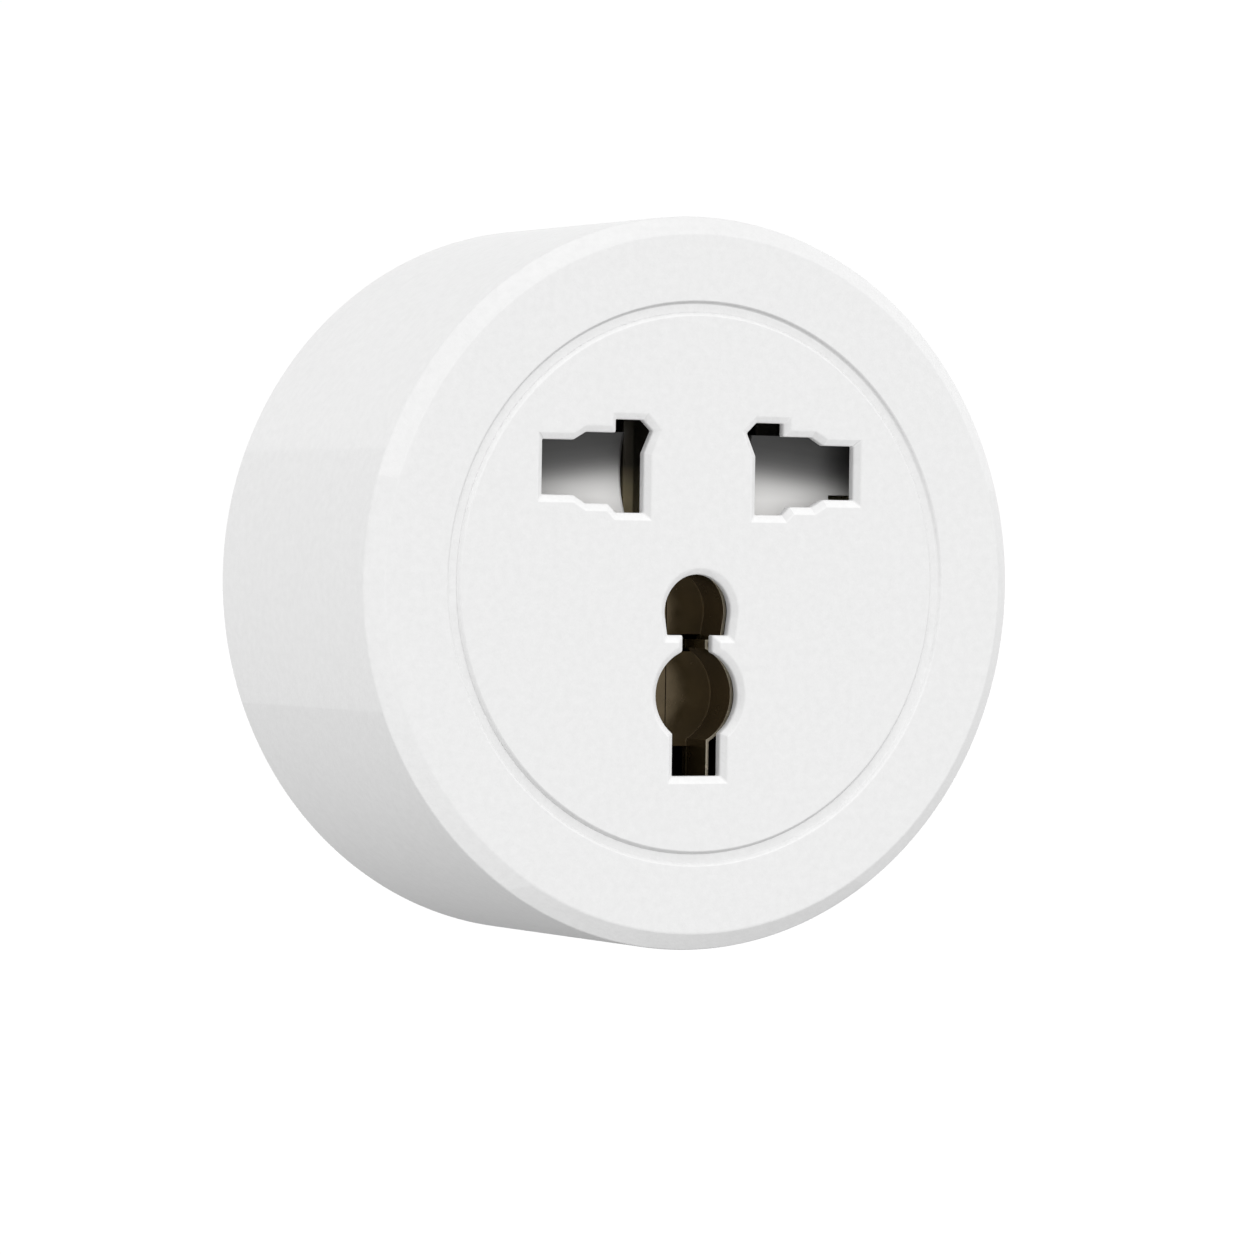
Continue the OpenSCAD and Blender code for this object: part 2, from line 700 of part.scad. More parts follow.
module push_button() {
  cap_x = body_r + 0.2;
  color("white") {
    cross_rod(button_flange_x[0], button_flange_x[1], button_y, 0, button_r + 0.9);
    translate([button_flange_x[1] - 0.01, button_y, 0]) rotate([0, 90, 0]) rotate_extrude() polygon([
      [0, 0], [button_r, 0], [button_r, cap_x - button_flange_x[1] - 0.4],
      [button_r - 0.4, cap_x - button_flange_x[1]], [0, cap_x - button_flange_x[1]]
    ]);
  }
}

module status_led() {
  color([0.9, 0.95, 0.9]) translate([control_x[1], button_y - 1, lens_z - 1]) cube([1.2, 2, 2]);
}

module light_pipe() {
  color([0.85, 0.93, 1]) {
    cross_rod(24.6, 31, button_y, lens_z, lens_r);
    cross_rod(26, 27, button_y, lens_z, lens_r + 0.5);
  }
}

module shutter_left() {
  mirror([1, 0, 0]) shutter();
}

module shutter_right() {
  shutter();
}

module spring_left() {
  mirror([1, 0, 0]) shutter_spring();
}

module spring_right() {
  shutter_spring();
}

module line_contact() {
  pin_contact();
}

module neutral_contact() {
  mirror([1, 0, 0]) pin_contact();
}

module line_pin() {
  plug_pin(pin_dia / 2, pin_len, pin_x, row_z);
}

module neutral_pin() {
  plug_pin(pin_dia / 2, pin_len, -pin_x, row_z);
}

module earth_pin() {
  plug_pin(earth_dia / 2, earth_len, 0, earth_z);
}

module bulk_capacitor_a() {
  bulk_capacitor(-24, -2.5, 4, 11);
}

module bulk_capacitor_b() {
  bulk_capacitor(-11.2, -16, 4, 11);
}

front_housing();
outlet_face();
contact_block();
shutter_left();
shutter_right();
spring_left();
spring_right();
line_contact();
neutral_contact();
earth_contact();
rear_cover();
line_pin();
neutral_pin();
earth_pin();
pin_plate();
plate_screws();
block_screws();
cover_screws();
main_board();
relay();
transformer_core();
transformer_coil();
bulk_capacitor_a();
bulk_capacitor_b();
line_capacitor();
varistor();
fuse();
line_choke();
shunt_strip();
metering_chip();
rectifier();
supply_chip();
control_board();
board_header();
radio_shield();
tact_switch();
switch_plunger();
push_button();
status_led();
light_pipe();
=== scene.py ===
import json
import math
import bpy
import bmesh
from mathutils import Matrix, Vector


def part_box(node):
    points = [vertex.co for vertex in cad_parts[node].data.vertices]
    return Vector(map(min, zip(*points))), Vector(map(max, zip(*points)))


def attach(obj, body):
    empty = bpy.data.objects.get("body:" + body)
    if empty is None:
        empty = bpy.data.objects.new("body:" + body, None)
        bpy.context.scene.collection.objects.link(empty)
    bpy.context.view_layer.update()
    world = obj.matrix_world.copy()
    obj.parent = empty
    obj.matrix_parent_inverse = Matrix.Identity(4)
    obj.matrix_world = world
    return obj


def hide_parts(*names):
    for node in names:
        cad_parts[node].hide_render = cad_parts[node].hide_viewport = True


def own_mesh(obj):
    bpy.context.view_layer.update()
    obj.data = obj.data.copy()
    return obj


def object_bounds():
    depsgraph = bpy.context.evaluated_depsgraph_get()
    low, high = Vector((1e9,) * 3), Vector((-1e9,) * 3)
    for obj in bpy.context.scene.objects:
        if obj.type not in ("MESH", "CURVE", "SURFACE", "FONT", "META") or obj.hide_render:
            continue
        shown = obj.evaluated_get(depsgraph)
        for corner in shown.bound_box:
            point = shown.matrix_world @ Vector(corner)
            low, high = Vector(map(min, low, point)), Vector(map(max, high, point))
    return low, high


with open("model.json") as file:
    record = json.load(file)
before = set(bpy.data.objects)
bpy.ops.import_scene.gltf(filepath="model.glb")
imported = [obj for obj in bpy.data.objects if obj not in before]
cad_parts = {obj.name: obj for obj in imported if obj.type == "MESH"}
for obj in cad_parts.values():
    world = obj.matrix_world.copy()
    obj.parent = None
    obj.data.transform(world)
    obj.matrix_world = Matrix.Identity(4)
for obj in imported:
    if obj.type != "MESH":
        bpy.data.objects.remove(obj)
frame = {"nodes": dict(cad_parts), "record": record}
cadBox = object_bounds()
cadNodes = frame["nodes"]
record = frame["record"]
bodyOf = {node: body for body, nodes in record["behaviour"]["bodies"].items() for node in nodes}
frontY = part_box("front_housing")[0].y    # the outlet side; the plug's pins point the other way
mm = 0.001

shading = {
    "sharpAngle": 34,     # degrees; a sharper edge stays a crease
    "mergeReach": 0.002,  # mm between corners that are one
    "flatAngle": 0.4,     # degrees between faces that are one
}


def boxOf(node):
    low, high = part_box(node)
    return low, high, (low + high) / 2


def softenShading(bm):
    sharp = math.radians(shading["sharpAngle"])
    for face in bm.faces:
        face.smooth = True
    for edge in bm.edges:
        edge.smooth = not (len(edge.link_faces) == 2 and edge.calc_face_angle(0) > sharp)


def addPiece(name, bm, node, finish):
    mesh = bpy.data.meshes.new(name)
    softenShading(bm)
    bm.to_mesh(mesh)
    bm.free()
    piece = bpy.data.objects.new(name, mesh)
    bpy.context.scene.collection.objects.link(piece)
    piece.data.materials.append(finishes[finish])
    evenShading = piece.modifiers.new("evenShading", "WEIGHTED_NORMAL")
    evenShading.keep_sharp = True
    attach(piece, bodyOf[node])
    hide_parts(node)
    return piece


# Bevels the edges that turn more than above degrees, or those of them that keep picks
def roundEdges(bm, width, segments=2, above=28, keep=None):
    edges = [e for e in bm.edges
             if len(e.link_faces) == 2 and e.calc_face_angle(0) > math.radians(above)
             and (keep is None or keep(e))]
    bmesh.ops.bevel(bm, geom=edges, offset=width, offset_type="OFFSET", segments=segments,
                    profile=0.5, affect="EDGES", clamp_overlap=True, material=-1)


def mergedMesh(node):
    bm = bmesh.new()
    bm.from_mesh(cadNodes[node].data)
    bmesh.ops.remove_doubles(bm, verts=bm.verts, dist=shading["mergeReach"] * mm)
    bmesh.ops.dissolve_limit(bm, angle_limit=math.radians(shading["flatAngle"]),
                             verts=bm.verts, edges=bm.edges)
    return bm


# A CAD piece with its edges rounded as a mould or a press leaves them
def softCopy(name, node, finish, width, segments=2, keep=None):
    bm = mergedMesh(node)
    if width:
        roundEdges(bm, width * mm, segments, keep=keep)
    return addPiece(name, bm, node, finish)


# Turns a closed profile of (radius, place along the axis) points, in mm, about an axis through centre
def turned(profile, centre, axis, steps):
    bm = bmesh.new()
    axis = Vector(axis)
    out = axis.orthogonal().normalized()
    verts = [bm.verts.new(centre + out * (r * mm) + axis * (a * mm)) for r, a in profile]
    edges = [bm.edges.new((verts[i], verts[(i + 1) % len(verts)])) for i in range(len(verts))]
    bmesh.ops.spin(bm, geom=verts + edges, cent=centre, axis=axis, angle=2 * math.pi,
                   steps=steps, use_merge=True, use_duplicate=False)
    bmesh.ops.remove_doubles(bm, verts=bm.verts, dist=0.001 * mm)
    bmesh.ops.recalc_face_normals(bm, faces=bm.faces)
    return bm


def rodAlongX(centre, radius, length):
    bm = bmesh.new()
    turn = Matrix.Rotation(math.radians(90), 4, "Y")
    bmesh.ops.create_cone(bm, cap_ends=True, segments=96, radius1=radius, radius2=radius, depth=length,
                          matrix=Matrix.Translation(centre) @ turn)
    return bm


finishes = {}


def newFinish(name):
    material = bpy.data.materials.new(name)
    material.use_nodes = True
    tree = material.node_tree
    shader = tree.nodes["Principled BSDF"]
    coords = tree.nodes.new("ShaderNodeTexCoord")
    finishes[name] = material
    return tree, shader, coords


def noise(tree, coords, featureSize, detail=2.0, stretch=None):
    texture = tree.nodes.new("ShaderNodeTexNoise")
    texture.inputs["Scale"].default_value = 1 / (featureSize * mm)
    texture.inputs["Detail"].default_value = detail
    source = coords.outputs["Object"]
    if stretch:
        mapping = tree.nodes.new("ShaderNodeMapping")
        mapping.inputs["Scale"].default_value = stretch
        tree.links.new(source, mapping.inputs["Vector"])
        source = mapping.outputs["Vector"]
    tree.links.new(source, texture.inputs["Vector"])
    return texture.outputs["Fac"]


# Noise lies mostly between 0.3 and 0.7, and this takes it to low and high
def spread(tree, value, low, high):
    node = tree.nodes.new("ShaderNodeMapRange")
    node.inputs["From Min"].default_value = 0.3
    node.inputs["From Max"].default_value = 0.7
    node.inputs["To Min"].default_value = low
    node.inputs["To Max"].default_value = high
    tree.links.new(value, node.inputs["Value"])
    return node.outputs["Result"]


def maths(tree, operation, first, second):
    node = tree.nodes.new("ShaderNodeMath")
    node.operation = operation
    for socket, value in zip(node.inputs, (first, second)):
        if isinstance(value, float):
            socket.default_value = value
        else:
            tree.links.new(value, socket)
    return node.outputs["Value"]


def placeOn(tree, coords, axis):
    split = tree.nodes.new("ShaderNodeSeparateXYZ")
    tree.links.new(coords.outputs["Object"], split.inputs["Vector"])
    return split.outputs[axis]


# 0 to 1 between two places along one of the piece's own axes, in mm
def along(tree, coords, axis, start, end):
    node = tree.nodes.new("ShaderNodeMapRange")
    node.inputs["From Min"].default_value = start * mm
    node.inputs["From Max"].default_value = end * mm
    tree.links.new(placeOn(tree, coords, axis), node.inputs["Value"])
    return node.outputs["Result"]


# Each colour is three numbers or another node's output
def blendColours(tree, factor, first, second):
    node = tree.nodes.new("ShaderNodeMix")
    node.data_type = "RGBA"
    for socket, colour in (("A", first), ("B", second)):
        if isinstance(colour, tuple):
            node.inputs[socket].default_value = (*colour, 1)
        else:
            tree.links.new(colour, node.inputs[socket])
    tree.links.new(factor, node.inputs["Factor"])
    return node.outputs["Result"]


def bump(tree, shader, height, depth, before=None):
    node = tree.nodes.new("ShaderNodeBump")
    node.inputs["Distance"].default_value = depth * mm
    tree.links.new(height, node.inputs["Height"])
    if before:
        tree.links.new(before, node.inputs["Normal"])
    tree.links.new(node.outputs["Normal"], shader.inputs["Normal"])
    return node.outputs["Normal"]


def varyRoughness(tree, shader, height, middle, swing):
    tree.links.new(spread(tree, height, middle - swing, middle + swing), shader.inputs["Roughness"])


# Pale and dark tones, roughness, then the grain's size and depth in mm
plastics = {
    "mouldedWhite": ((0.866, 0.866, 0.866), (0.854, 0.854, 0.855), 0.5, 0.28, 0.018),
    "smoothWhite": ((0.868, 0.868, 0.868), (0.85, 0.85, 0.851), 0.42, 0.45, 0.004),
    "blackMoulding": ((0.062, 0.052, 0.033), (0.05, 0.042, 0.026), 0.3, 0.4, 0.006),
    "filledNylon": ((0.05, 0.05, 0.055), (0.035, 0.035, 0.04), 0.5, 0.35, 0.01),
    "brownNylon": ((0.33, 0.27, 0.21), (0.27, 0.22, 0.17), 0.42, 0.4, 0.006),
    "epoxyBlack": ((0.02, 0.02, 0.022), (0.012, 0.012, 0.014), 0.55, 0.2, 0.01),
    "ferrite": ((0.06, 0.06, 0.065), (0.035, 0.035, 0.04), 0.62, 0.2, 0.015),
    "windingTape": ((0.72, 0.5, 0.05), (0.62, 0.4, 0.03), 0.3, 0.7, 0.01),
    "relayBlue": ((0.025, 0.07, 0.28), (0.018, 0.05, 0.2), 0.34, 0.5, 0.005),
    "canSleeve": ((0.02, 0.025, 0.06), (0.012, 0.015, 0.04), 0.25, 0.8, 0.004),
    "filmYellow": ((0.7, 0.46, 0.04), (0.6, 0.38, 0.03), 0.4, 0.4, 0.01),
    "dippedBlue": ((0.03, 0.12, 0.42), (0.02, 0.08, 0.3), 0.3, 1.4, 0.03),
    "lacquerGreen": ((0.1, 0.27, 0.13), (0.07, 0.2, 0.09), 0.3, 1.2, 0.02),
}

# The same, and where the grain runs one way, how it is drawn out
metals = {
    "phosphorBronze": ((0.3, 0.2, 0.1), (0.16, 0.105, 0.055), 0.27, 0.35, 0.004, (1, 1, 4)),
    "nickelPlate": ((0.78, 0.76, 0.72), (0.68, 0.66, 0.62), 0.24, 0.25, 0.003, (1, 6, 1)),
    "zincPlate": ((0.66, 0.67, 0.69), (0.5, 0.51, 0.53), 0.3, 0.3, 0.004),
    "tinnedShunt": ((0.55, 0.38, 0.25), (0.42, 0.28, 0.18), 0.34, 0.3, 0.004),
}


# Faint blotches in the tone, and a fine grain over a coarse one
def plasticFinish(name, light, dark, roughness, grain, grainDepth):
    tree, shader, coords = newFinish(name)
    blotches = spread(tree, noise(tree, coords, 9.0, 3), 0, 1)
    tree.links.new(blendColours(tree, blotches, dark, light), shader.inputs["Base Color"])
    varyRoughness(tree, shader, noise(tree, coords, 2.2), roughness, 0.05)
    coarse = bump(tree, shader, noise(tree, coords, grain * 4, 3), grainDepth * 1.6)
    bump(tree, shader, noise(tree, coords, grain, 2), grainDepth, coarse)


def metalFinish(name, light, dark, roughness, grain, grainDepth, stretch=None):
    tree, shader, coords = newFinish(name)
    shader.inputs["Metallic"].default_value = 1
    tone = spread(tree, noise(tree, coords, 3.0, 4), 0, 1)
    tree.links.new(blendColours(tree, tone, dark, light), shader.inputs["Base Color"])
    varyRoughness(tree, shader, noise(tree, coords, 1.1, 3, stretch), roughness, 0.08)
    bump(tree, shader, noise(tree, coords, grain, 3, stretch), grainDepth)


# Circuit board: tracks under a green mask
boardLook = {
    "scale": 5.0,
    "trackWidth": 0.06,
    "mask": (0.02, 0.16, 0.07),
    "paleMask": (0.025, 0.2, 0.09),
    "track": (0.01, 0.09, 0.04),
    "roughness": 0.3,
    "relief": 0.03,
}


def boardFinish(name):
    tree, shader, coords = newFinish(name)
    look = boardLook
    tracks = tree.nodes.new("ShaderNodeTexBrick")
    tracks.inputs["Scale"].default_value = 1 / (look["scale"] * mm)
    tracks.inputs["Mortar Size"].default_value = look["trackWidth"]
    for socket, colour in (("Color1", "mask"), ("Color2", "paleMask"), ("Mortar", "track")):
        tracks.inputs[socket].default_value = (*look[colour], 1)
    turn = tree.nodes.new("ShaderNodeMapping")
    turn.inputs["Rotation"].default_value = (math.pi / 2, 0, 0)
    tree.links.new(coords.outputs["Object"], turn.inputs["Vector"])
    tree.links.new(turn.outputs["Vector"], tracks.inputs["Vector"])
    tree.links.new(tracks.outputs["Color"], shader.inputs["Base Color"])
    shader.inputs["Roughness"].default_value = look["roughness"]
    bump(tree, shader, tracks.outputs["Fac"], look["relief"])


clearLook = {
    "tint": (0.9, 0.94, 0.95),
    "clearness": 0.85,
    "refraction": 1.49,
    "roughness": 0.28,
    "grain": 0.3,
    "grainDepth": 0.004,
}


def clearFinish(name):
    tree, shader, coords = newFinish(name)
    look = clearLook
    shader.inputs["Base Color"].default_value = (*look["tint"], 1)
    shader.inputs["Transmission Weight"].default_value = look["clearness"]
    shader.inputs["IOR"].default_value = look["refraction"]
    varyRoughness(tree, shader, noise(tree, coords, 0.8), look["roughness"], 0.06)
    bump(tree, shader, noise(tree, coords, look["grain"]), look["grainDepth"])


# Smooth white plastic with painted shade in its colour: darker up the shutter, towards the part in the
# outlet plate's shadow, and darker outwards from the middle
shutterPaintedShade = {
    "levels": (           # height, and paleness of the painted shade there
        (7.4, 0.96), (8.0, 0.87), (8.6, 0.74), (9.0, 0.62), (9.4, 0.475), (9.7, 0.36),
        (10.0, 0.26), (10.35, 0.175), (10.7, 0.115), (11.1, 0.075), (11.5, 0.055), (12.2, 0.038),
    ),
    "warmth": (1, 0.99, 0.975),
    "outwards": 0.13,     # painted shade: each mm outwards darkens it as much as this many mm upwards
    "from": 7.0,          # starting this far from the middle
    "roughness": 0.4,
    "grain": 0.5,
    "grainDepth": 0.003,
}


def shutterPaintedShadeFinish(name):
    tree, shader, coords = newFinish(name)
    look = shutterPaintedShade
    start, end = look["levels"][0][0], look["levels"][-1][0]
    ramp = tree.nodes.new("ShaderNodeValToRGB")
    stops = ramp.color_ramp.elements
    stops.remove(stops[1])
    for height, level in look["levels"]:
        stop = stops[0] if height == start else stops.new((height - start) / (end - start))
        stop.color = (*(level * share for share in look["warmth"]), 1)
    # painted shade: the ramp darkens the colour up the shutter and outwards from the middle
    up = along(tree, coords, "Z", start, end)
    out = maths(tree, "ABSOLUTE", placeOn(tree, coords, "X"), 0.0)
    out = maths(tree, "SUBTRACT", out, look["from"] * mm)
    out = maths(tree, "MULTIPLY", out, look["outwards"] / ((end - start) * mm))
    tree.links.new(maths(tree, "ADD", up, out), ramp.inputs["Fac"])
    tree.links.new(ramp.outputs["Color"], shader.inputs["Base Color"])
    varyRoughness(tree, shader, noise(tree, coords, 2.0), look["roughness"], 0.04)
    bump(tree, shader, noise(tree, coords, look["grain"]), look["grainDepth"])


# White mouldings of the front: mottled flats, and painted light on the edges: bevels round the holes
# painted paler, paler still where they face up and darker where they face left, and groove walls painted
# paler facing up and darker facing down
frontLookWithPaintedLight = {
    "flat": 0.866,
    "bevel": 0.9,         # painted highlight: bevels round the holes painted paler than the flats
    "paintedHighlightUp": 0.14,      # painted highlight added for a bevel that faces straight up
    "paintedShadeLeft": -0.22,   # painted shade for one that faces left
    "paintedGrooveHighlightUp": 0.13,     # painted highlight for the walls of the groove round the outlet plate that face up
    # painted shade for the groove walls that face down
    "paintedGrooveShadeDown": -0.33,
    "edgeDepth": 2,       # bevels and groove lie this far behind the front face at most
    "holesWithin": 20,    # the holes lie inside this radius
    "grooveWithin": 25.5,
    "mottle": 0.7,
    "mottleDepth": 0.02,
    "roughness": 0.49,
    "grain": 0.28,
    "grainDepth": 0.03,
}


def frontFinishWithPaintedLight(name):
    tree, shader, coords = newFinish(name)
    look = frontLookWithPaintedLight
    tone = tree.nodes.new("ShaderNodeAttribute")
    tone.attribute_name = "tone"
    mottled = tree.nodes.new("ShaderNodeVectorMath")
    mottled.operation = "SCALE"
    tree.links.new(tone.outputs["Color"], mottled.inputs[0])
    depth = look["mottleDepth"]
    mottle = spread(tree, noise(tree, coords, look["mottle"], 3), 1 - depth, 1 + depth)
    tree.links.new(mottle, mottled.inputs["Scale"])
    tree.links.new(mottled.outputs["Vector"], shader.inputs["Base Color"])
    varyRoughness(tree, shader, noise(tree, coords, 2.2), look["roughness"], 0.05)
    bump(tree, shader, noise(tree, coords, look["grain"], 2), look["grainDepth"])


# Gives each face the tone that the front finish reads, with painted light and shade: paler bevels and
# edges that face up, darker ones that face left or down
def paintFrontLightAndShade(piece):
    look = frontLookWithPaintedLight
    tones = piece.data.attributes.new("tone", "FLOAT_COLOR", "FACE")
    for face, tone in zip(piece.data.polygons, tones.data):
        level = look["flat"]
        reach = math.hypot(face.center.x, face.center.z)
        up, left = face.normal.z, -face.normal.x
        # painted light and shade: bevels paler, more so facing up and darker facing left; groove walls
        # paler facing up, darker facing down
        if abs(face.normal.y) < 0.97 and face.center.y < frontY + look["edgeDepth"] * mm:
            if reach < look["holesWithin"] * mm:
                level = look["bevel"] + look["paintedHighlightUp"] * max(up, 0) + look["paintedShadeLeft"] * max(left, 0)
            elif reach < look["grooveWithin"] * mm:
                level += look["paintedGrooveHighlightUp"] * max(up, 0) + look["paintedGrooveShadeDown"] * max(-up, 0)
        tone.color = (level, level, level, 1)


# Black moulding with painted light: brown and brighter about one height beside the shutters, where light
# falls into the slot, tinted like the bronze contacts
blockPaintedLightLook = {
    "black": (0.03, 0.026, 0.019),
    "brown": (0.32, 0.27, 0.165),
    "paintedLightHeight": 6.3,
    "paintedLightReach": 4.0,    # above and below that height
    "roughness": 0.3,
    "grain": 0.4,
    "grainDepth": 0.006,
}


def blockPaintedLightFinish(name):
    tree, shader, coords = newFinish(name)
    look = blockPaintedLightLook
    # painted light: full brown at that height, fading to black further above and below
    away = maths(tree, "SUBTRACT", placeOn(tree, coords, "Z"), look["paintedLightHeight"] * mm)
    away = maths(tree, "ABSOLUTE", away, 0.0)
    away = maths(tree, "MULTIPLY", away, 1 / (look["paintedLightReach"] * mm))
    near = maths(tree, "MAXIMUM", maths(tree, "SUBTRACT", 1.0, away), 0.0)
    tree.links.new(blendColours(tree, near, look["black"], look["brown"]), shader.inputs["Base Color"])
    varyRoughness(tree, shader, noise(tree, coords, 2.2), look["roughness"], 0.05)
    bump(tree, shader, noise(tree, coords, look["grain"], 2), look["grainDepth"])


# Bronze with painted highlights: a bright band painted at the cut edge at the front of the collar, and a
# fainter one at the fold round its floor
earthBronzePaintedHighlights = {
    "base": (0.085, 0.06, 0.027),
    "worn": (0.11, 0.078, 0.036),
    "metallic": 0.5,
    "paintedCutEdgeHighlight": (0.8, 0.72, 0.56),
    "edgeHighlightDepths": (2.45, 2.52),    # mm behind the front face, where the painted edge highlight fades
    "fold": (0.34, 0.27, 0.17),
    "foldHighlightDepths": (5.92, 6.0, 6.04, 6.08),    # where it starts, is full, is still full, and ends
    "roughness": 0.215,
    "grain": 0.35,
    "grainDepth": 0.004,
}


def earthFinishWithPaintedHighlights(name):
    tree, shader, coords = newFinish(name)
    look = earthBronzePaintedHighlights
    edge = [frontY / mm + depth for depth in look["edgeHighlightDepths"]]
    fold = [frontY / mm + depth for depth in look["foldHighlightDepths"]]
    shader.inputs["Metallic"].default_value = look["metallic"]
    tone = spread(tree, noise(tree, coords, 3.0, 4), 0, 1)
    sheet = blendColours(tree, tone, look["base"], look["worn"])
    # painted highlight bands, at the collar's cut edge and at the fold round its floor
    colour = blendColours(tree, along(tree, coords, "Y", *edge), look["paintedCutEdgeHighlight"], sheet)
    rise = along(tree, coords, "Y", fold[0], fold[1])
    fall = along(tree, coords, "Y", fold[3], fold[2])
    colour = blendColours(tree, maths(tree, "MULTIPLY", rise, fall), colour, look["fold"])
    tree.links.new(colour, shader.inputs["Base Color"])
    varyRoughness(tree, shader, noise(tree, coords, 1.1, 3), look["roughness"], 0.065)
    bump(tree, shader, noise(tree, coords, look["grain"], 3, (1, 1, 4)), look["grainDepth"])


for name, look in plastics.items():
    plasticFinish(name, *look)
for name, look in metals.items():
    metalFinish(name, *look)
frontFinishWithPaintedLight("frontWhitePaintedLight")
shutterPaintedShadeFinish("shutterWhitePaintedShade")
blockPaintedLightFinish("blockBlackPaintedLight")
earthFinishWithPaintedHighlights("earthSheetPaintedHighlights")
boardFinish("solderMask")
clearFinish("clearAcrylic")
print("finishes ready:", len(finishes))


housing = {
    "rimWidth": 1.5,      # bevel round the front rim
    "rimDepth": 1.2,
    "wall": 2.2,
    "faceThickness": 2.0,
    "grooveIn": 23.6,     # shadow groove, radii at its floor
    "grooveOut": 24.4,
    "grooveFlare": 0.18,  # how far its outer wall leans out
    "grooveDepth": 0.4,
    "edgeRound": 0.14,
    "steps": 224,
    "buttonHole": 3.6,    # radius
    "lensHole": 1.05,
    "holeCut": 8,         # length of the rod that cuts a hole through the wall
    "postsFrom": 1.5,     # behind the front face, sunk into its thickness
    "coverPosts": {"radius": 3.0, "reach": 27.4, "angles": (45, 135, 225, 315), "to": 27.8},
    "blockPosts": {"radius": 2.2, "reach": 28.1, "angles": (90, 210, 330), "to": 5.4},
}


def makeHousing():
    low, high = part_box("front_housing")
    radius = (high.x - low.x) / 2 / mm
    depth = (high.y - low.y) / mm
    h = housing
    profile = [
        (h["grooveIn"], h["grooveDepth"]), (h["grooveOut"], h["grooveDepth"]),
        (h["grooveOut"] + h["grooveFlare"], 0), (radius - h["rimWidth"], 0), (radius, h["rimDepth"]),
        (radius, depth), (radius - h["wall"], depth), (radius - h["wall"], h["faceThickness"]),
        (h["grooveIn"], h["faceThickness"]),
    ]
    bm = turned(profile, Vector((0, frontY, 0)), (0, 1, 0), h["steps"])
    lip = (h["grooveIn"] + 0.1) * mm    # the lip against the outlet plate stays sharp
    roundEdges(bm, h["edgeRound"] * mm, 3, above=20,
               keep=lambda e: min(math.hypot(v.co.x, v.co.z) for v in e.verts) > lip)
    return bm


def cutHoles(bm, cutters):
    mesh = bpy.data.meshes.new("cutWork")
    bm.to_mesh(mesh)
    bm.free()
    work = bpy.data.objects.new("cutWork", mesh)
    bpy.context.scene.collection.objects.link(work)
    tools = []
    for cutter in cutters:
        toolMesh = bpy.data.meshes.new("cutTool")
        cutter.to_mesh(toolMesh)
        cutter.free()
        tool = bpy.data.objects.new("cutTool", toolMesh)
        bpy.context.scene.collection.objects.link(tool)
        tools.append(tool)
        modifier = work.modifiers.new("cut", "BOOLEAN")
        modifier.operation = "DIFFERENCE"
        modifier.object = tool
    bpy.context.view_layer.update()
    result = bmesh.new()
    result.from_object(work, bpy.context.evaluated_depsgraph_get())
    for done in [work] + tools:
        bpy.data.objects.remove(done)
    return result


# Screw posts behind the front face
def addPosts(shell, posts):
    start, end = housing["postsFrom"], posts["to"]
    turn = Matrix.Rotation(math.radians(-90), 4, "X")
    for angle in posts["angles"]:
        outwards = Vector((math.cos(math.radians(angle)), 0, math.sin(math.radians(angle))))
        spot = outwards * posts["reach"] * mm
        spot.y = frontY + (start + end) / 2 * mm
        bmesh.ops.create_cone(shell, cap_ends=True, segments=48, radius1=posts["radius"] * mm,
                              radius2=posts["radius"] * mm, depth=(end - start) * mm,
                              matrix=Matrix.Translation(spot) @ turn)


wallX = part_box("front_housing")[1].x
holes = []
for node, radius in (("push_button", housing["buttonHole"]), ("light_pipe", housing["lensHole"])):
    middle = boxOf(node)[2]
    holes.append(rodAlongX(Vector((wallX, middle.y, middle.z)), radius * mm, housing["holeCut"] * mm))
shell = cutHoles(makeHousing(), holes)
addPosts(shell, housing["coverPosts"])
addPosts(shell, housing["blockPosts"])
paintFrontLightAndShade(addPiece("housingShell", shell, "front_housing", "frontWhitePaintedLight"))
print("housing ready")


outlet = {
    "edgeRound": 0.12,
    "seamDepth": 0.3,     # edges deeper than this stay sharp, so that the seam stays closed
}


def isOpenEdge(edge):
    return all(v.co.y < frontY + outlet["seamDepth"] * mm
               or math.hypot(v.co.x, v.co.z) < frontLookWithPaintedLight["holesWithin"] * mm for v in edge.verts)


paintFrontLightAndShade(softCopy("outletPlate", "outlet_face", "frontWhitePaintedLight", outlet["edgeRound"], 3, keep=isOpenEdge))
softCopy("contactBlock", "contact_block", "blockBlackPaintedLight", 0)

shutterEdges = {
    "hollowRound": 0.4,   # the hollow's edge nearest the middle
    "otherRound": 0.12,
    "clearOfEnds": 1,     # the large rounding stops this far from the back and from the foot
}


def makeShutter(side):
    low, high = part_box("shutter_" + side)
    inner = min(abs(low.x), abs(high.x))
    clear = shutterEdges["clearOfEnds"] * mm
    bm = mergedMesh("shutter_" + side)
    roundEdges(bm, shutterEdges["hollowRound"] * mm, 4, keep=lambda e: all(
        abs(abs(v.co.x) - inner) < 0.01 * mm and v.co.y < high.y - clear and v.co.z > low.z + clear
        for v in e.verts))
    roundEdges(bm, shutterEdges["otherRound"] * mm, 3, above=40)
    addPiece(side + "Shutter", bm, "shutter_" + side, "shutterWhitePaintedShade")


